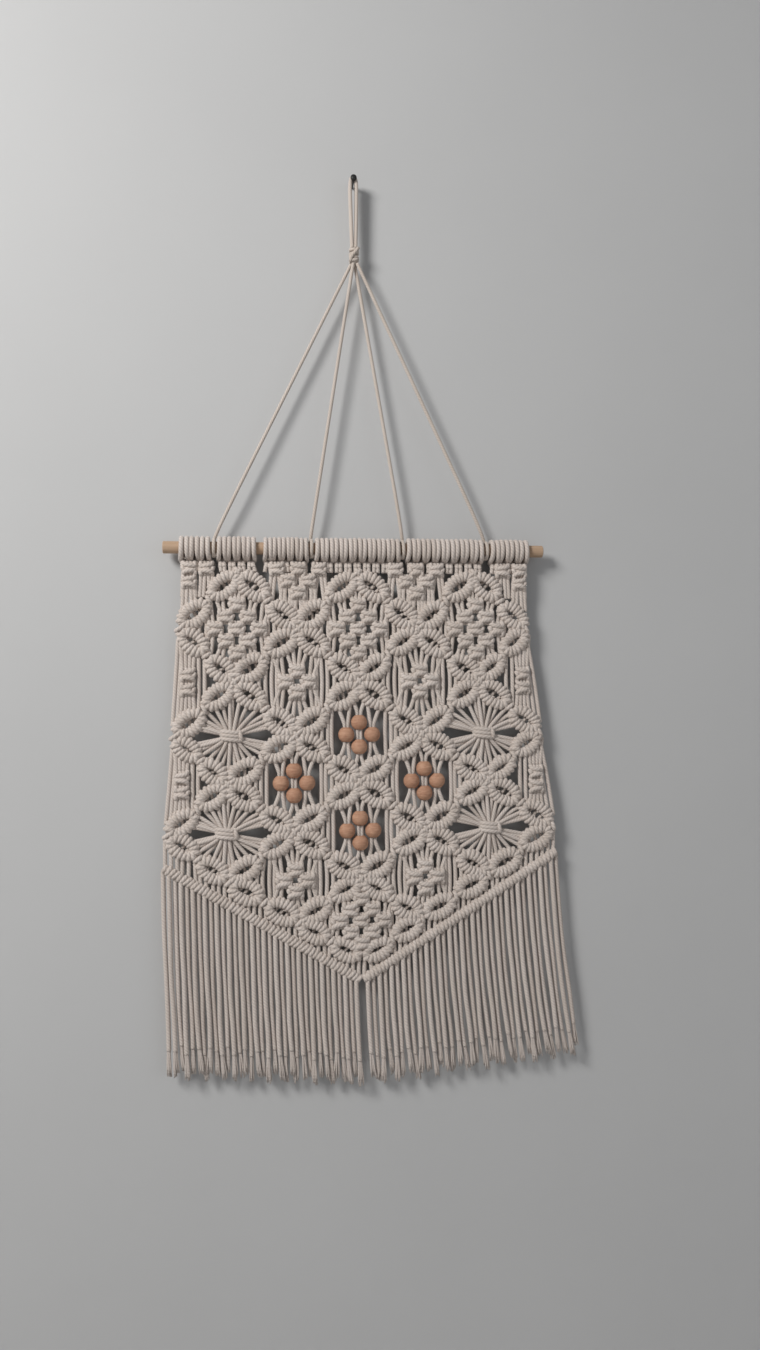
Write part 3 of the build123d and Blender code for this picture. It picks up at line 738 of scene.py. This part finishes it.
def rope_route(number):
    """From under the knot down to the dowel, then round it more than one and a half times."""
    turn_r = DOWEL_R + ROPE / 2 + 0.8
    foot_x = ROPE_FEET[number]
    outward = math.copysign(1.2, foot_x)
    x, y = ((-3.0, 1.9), (-1.0, -1.9), (1.0, 1.9), (3.0, -1.9))[number]
    top = np.array([x, y, KNOT_TOP - KNOT_HEIGHT])
    run = np.array([foot_x + outward, 0.0, DOWEL_Z + turn_r]) - top
    route = [top, top + run * 0.08, top + run * 0.5, top + run * 0.93]
    steps = 16
    for step in range(1, steps + 1):
        angle = math.pi / 2 + step / steps * 3.2 * math.pi
        route.append((foot_x + outward * (1 - 2 * step / steps), -turn_r * math.cos(angle),
                      DOWEL_Z + turn_r * math.sin(angle)))
    return route


def make_ropes(rope):
    for number in range(len(ROPE_FEET)):
        line = nurbs_line(rope_route(number), 1.4)
        yarn = Yarn()
        yarn.tube(line, ROPE / 2, lobes=0.09, sides=9)
        nodes = [f"hanger_rope_{number + 1}"] + (["rope_hitches"] if not number else [])
        made = yarn.piece(f"rope_{number + 1}", rope, "hanger", "hanger_rope", *nodes)


# --- materials --------------------------------------------------------------------
def nodes_of(name, roughness, sheen=0.0):
    material = bpy.data.materials.new(name)
    material.use_nodes = True
    tree = material.node_tree
    shader = tree.nodes["Principled BSDF"]
    shader.inputs["Roughness"].default_value = roughness
    shader.inputs["Specular IOR Level"].default_value = 0.25
    if sheen:
        shader.inputs["Sheen Weight"].default_value = sheen
        shader.inputs["Sheen Roughness"].default_value = 0.6
    return material, tree, shader


def math_node(tree, operation, *values):
    node = tree.nodes.new("ShaderNodeMath")
    node.operation = operation
    for place, value in enumerate(values):
        if isinstance(value, (int, float)):
            node.inputs[place].default_value = value
        else:
            tree.links.new(value, node.inputs[place])
    return node.outputs[0]


def mixed(tree, share, low, high):
    node = tree.nodes.new("ShaderNodeMix")
    node.data_type = "RGBA"
    for socket, value in ((node.inputs[0], share), (node.inputs[6], low), (node.inputs[7], high)):
        if isinstance(value, tuple):
            socket.default_value = value
        else:
            tree.links.new(value, socket)
    return node.outputs[2]


def noise(tree, vector, scale, detail=3.0):
    node = tree.nodes.new("ShaderNodeTexNoise")
    node.inputs["Scale"].default_value = scale
    node.inputs["Detail"].default_value = detail
    tree.links.new(vector, node.inputs["Vector"])
    return node.outputs["Fac"]


def cotton(name, light, dark, grain=1.0):
    """Twisted cotton: three plies wound round each other, with fine fibres along them. Its colour is
    darkened in the grooves between the plies as painted shade.
    """
    material, tree, shader = nodes_of(name, 0.92, 0.25)
    uv = tree.nodes.new("ShaderNodeUVMap")
    uv.uv_map = "cord"
    split = tree.nodes.new("ShaderNodeSeparateXYZ")
    tree.links.new(uv.outputs[0], split.inputs[0])
    turns = math_node(tree, "DIVIDE", split.outputs[0], PLY_PITCH)
    phase = math_node(tree, "ADD", split.outputs[1], turns)
    ply = math_node(tree, "COSINE", math_node(tree, "MULTIPLY", phase, 6 * math.pi))
    ridge = math_node(tree, "MULTIPLY_ADD", ply, 0.5, 0.5)
    ridge = math_node(tree, "POWER", ridge, 0.5)
    join = tree.nodes.new("ShaderNodeCombineXYZ")
    tree.links.new(math_node(tree, "MULTIPLY", split.outputs[0], 0.35), join.inputs[0])
    tree.links.new(math_node(tree, "MULTIPLY", phase, 26.0), join.inputs[1])
    fibre = noise(tree, join.outputs[0], 1.0, 4.0)
    place = tree.nodes.new("ShaderNodeTexCoord").outputs["Object"]
    patch = noise(tree, place, 38.0, 3.0)
    fleck = noise(tree, place, 900.0 * grain, 2.0)
    tint = tree.nodes.new("ShaderNodeAttribute")
    tint.attribute_name = "tint"
    share = math_node(tree, "MULTIPLY_ADD", tint.outputs["Fac"], 0.14, 0.30)
    share = math_node(tree, "ADD", share, math_node(tree, "MULTIPLY", patch, 0.45))
    share = math_node(tree, "ADD", share, math_node(tree, "MULTIPLY", fleck, 0.25))
    base = mixed(tree, share, dark, light)
    # painted shade: a darker tone of the cord laid into the grooves between the plies, streaked by the
    # fibres
    painted_groove_shade = tuple(c * 0.55 for c in dark[:3]) + (1.0,)
    groove_shade_mix = math_node(tree, "MULTIPLY_ADD", ridge, 0.35, 0.65)
    groove_shade_mix = math_node(tree, "ADD", groove_shade_mix, math_node(tree, "MULTIPLY_ADD", fibre, 0.3, -0.15))
    tree.links.new(mixed(tree, groove_shade_mix, painted_groove_shade, base), shader.inputs["Base Color"])
    height = math_node(tree, "ADD", ridge, math_node(tree, "MULTIPLY", fibre, 0.6))
    bump = tree.nodes.new("ShaderNodeBump")
    bump.inputs["Strength"].default_value = 0.5
    bump.inputs["Distance"].default_value = 0.0006
    tree.links.new(height, bump.inputs["Height"])
    tree.links.new(bump.outputs[0], shader.inputs["Normal"])
    return material


def wood(name, light, dark, stretch, scale):
    """Bare wood: long grain lines, darker pores and a soft change of tone."""
    material, tree, shader = nodes_of(name, 0.62)
    place = tree.nodes.new("ShaderNodeTexCoord").outputs["Object"]
    mapping = tree.nodes.new("ShaderNodeMapping")
    mapping.inputs["Scale"].default_value = stretch
    tree.links.new(place, mapping.inputs["Vector"])
    grain = noise(tree, mapping.outputs[0], scale, 5.0)
    pores = noise(tree, mapping.outputs[0], scale * 4.5, 3.0)
    tone = noise(tree, place, 30.0, 2.0)
    share = math_node(tree, "MULTIPLY_ADD", grain, 1.5, -0.35)
    share = math_node(tree, "ADD", share, math_node(tree, "MULTIPLY_ADD", tone, 0.7, -0.35))
    share = math_node(tree, "ADD", share, math_node(tree, "MULTIPLY_ADD", pores, 0.6, -0.3))
    tree.links.new(mixed(tree, share, dark, light), shader.inputs["Base Color"])
    tree.links.new(math_node(tree, "MULTIPLY_ADD", pores, 0.25, 0.5), shader.inputs["Roughness"])
    bump = tree.nodes.new("ShaderNodeBump")
    bump.inputs["Strength"].default_value = 0.35
    bump.inputs["Distance"].default_value = 0.0003
    tree.links.new(pores, bump.inputs["Height"])
    tree.links.new(bump.outputs[0], shader.inputs["Normal"])
    return material


def finish_wood():
    """The dowel and the beads keep their CAD shapes and get wood."""
    dowel = wood("dowel_pale_wood", (0.58, 0.42, 0.30, 1), (0.42, 0.28, 0.18, 1), (3, 60, 60), 6.0)
    beads = wood("bead_tan_wood", (0.62, 0.375, 0.25, 1), (0.38, 0.19, 0.12, 1), (1.0, 1.0, 3.5), 190.0)
    for name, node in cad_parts.items():
        if name == "dowel" or name.startswith("bead_") and name[5:].isdigit():
            node.material_slots[0].material = dowel if name == "dowel" else beads
            node.data.polygons.foreach_set("use_smooth", np.ones(len(node.data.polygons), bool))


# --- stage ------------------------------------------------------------------------
def plane(name, corners, material):
    mesh = bpy.data.meshes.new(name)
    mesh.from_pydata(corners, [], [(0, 1, 2, 3)])
    mesh.materials.append(material)
    made = bpy.data.objects.new(name, mesh)
    bpy.context.scene.collection.objects.link(made)
    return made


def make_stage():
    """A pale wall close behind the hanging, seen from the front only, and a pale floor."""
    wall, tree, shader = nodes_of("wall_plaster", 0.95)
    place = tree.nodes.new("ShaderNodeTexCoord").outputs["Object"]
    tree.links.new(mixed(tree, noise(tree, place, 4.0, 4.0), (0.52, 0.52, 0.52, 1), (0.56, 0.56, 0.56, 1)),
                   shader.inputs["Base Color"])
    clear = tree.nodes.new("ShaderNodeBsdfTransparent")
    facing = tree.nodes.new("ShaderNodeNewGeometry")
    mix = tree.nodes.new("ShaderNodeMixShader")
    tree.links.new(facing.outputs["Backfacing"], mix.inputs[0])
    tree.links.new(shader.outputs[0], mix.inputs[1])
    tree.links.new(clear.outputs[0], mix.inputs[2])
    tree.links.new(mix.outputs[0], tree.nodes["Material Output"].inputs[0])
    y, reach, low, high = 0.0145, 3.0, -1.5, 1.5
    plane("wall", [(-reach, y, low), (reach, y, low), (reach, y, high), (-reach, y, high)], wall)
    steel, _, shader = nodes_of("nail_steel", 0.4)
    shader.inputs["Base Color"].default_value = (0.03, 0.03, 0.03, 1)
    nail = Yarn()
    nail.tube([(0, 14, 0), (0, -5, 0), (0, -5.01, 0), (0, -6.2, 0)], [1.45, 1.45, 3.2, 3.0], sides=20)
    nail.make("nail", steel)
    floor, _, shader = nodes_of("floor_pale", 0.9)
    shader.inputs["Base Color"].default_value = (0.62, 0.61, 0.60, 1)
    plane("floor", [(-reach, -4, low), (reach, -4, low), (reach, 3, low), (-reach, 3, low)], floor)


def lamp(name, place, target, size, power, colour):
    data = bpy.data.lights.new(name, "AREA")
    data.shape, data.size, data.energy, data.color = "DISK", size, power, colour
    made = bpy.data.objects.new(name, data)
    made.location = place
    made.rotation_mode = "QUATERNION"
    made.rotation_quaternion = (Vector(target) - Vector(place)).to_track_quat("-Z", "Y")
    bpy.context.scene.collection.objects.link(made)


def make_lights():
    middle = (0, 0, -0.5)
    lamp("window", (-1.15, -1.15, 0.4), middle, 0.6, 26.0, (1.0, 0.99, 0.97))
    lamp("fill", (1.5, -1.6, -0.3), middle, 1.6, 3.0, (0.97, 0.98, 1.0))
    lamp("rear", (0.6, 2.0, 0.2), middle, 1.6, 14.0, (1.0, 1.0, 1.0))
    world = bpy.data.worlds.new("studio")
    world.use_nodes = True
    world.node_tree.nodes["Background"].inputs[0].default_value = (0.95, 0.97, 1.0, 1)
    world.node_tree.nodes["Background"].inputs[1].default_value = 0.26
    bpy.context.scene.world = world
    bpy.context.scene.view_settings.view_transform = "Standard"


make_camera()
cord = cotton("cotton_cord", (0.74, 0.66, 0.61, 1), (0.50, 0.42, 0.36, 1))
rope = cotton("hanger_rope", (0.70, 0.62, 0.56, 1), (0.48, 0.40, 0.33, 1))
make_loops(rope)
make_hanger_knot(rope)
make_ropes(rope)
make_fringe(cord)
make_border(cord)
make_heads(cord)
make_header(cord)
make_leaves(cord)
make_nets(cord)
make_clusters(cord)
make_sheaves(cord)
make_bead_cells(cord)
make_sides(cord)
finish_wood()
make_stage()
make_lights()
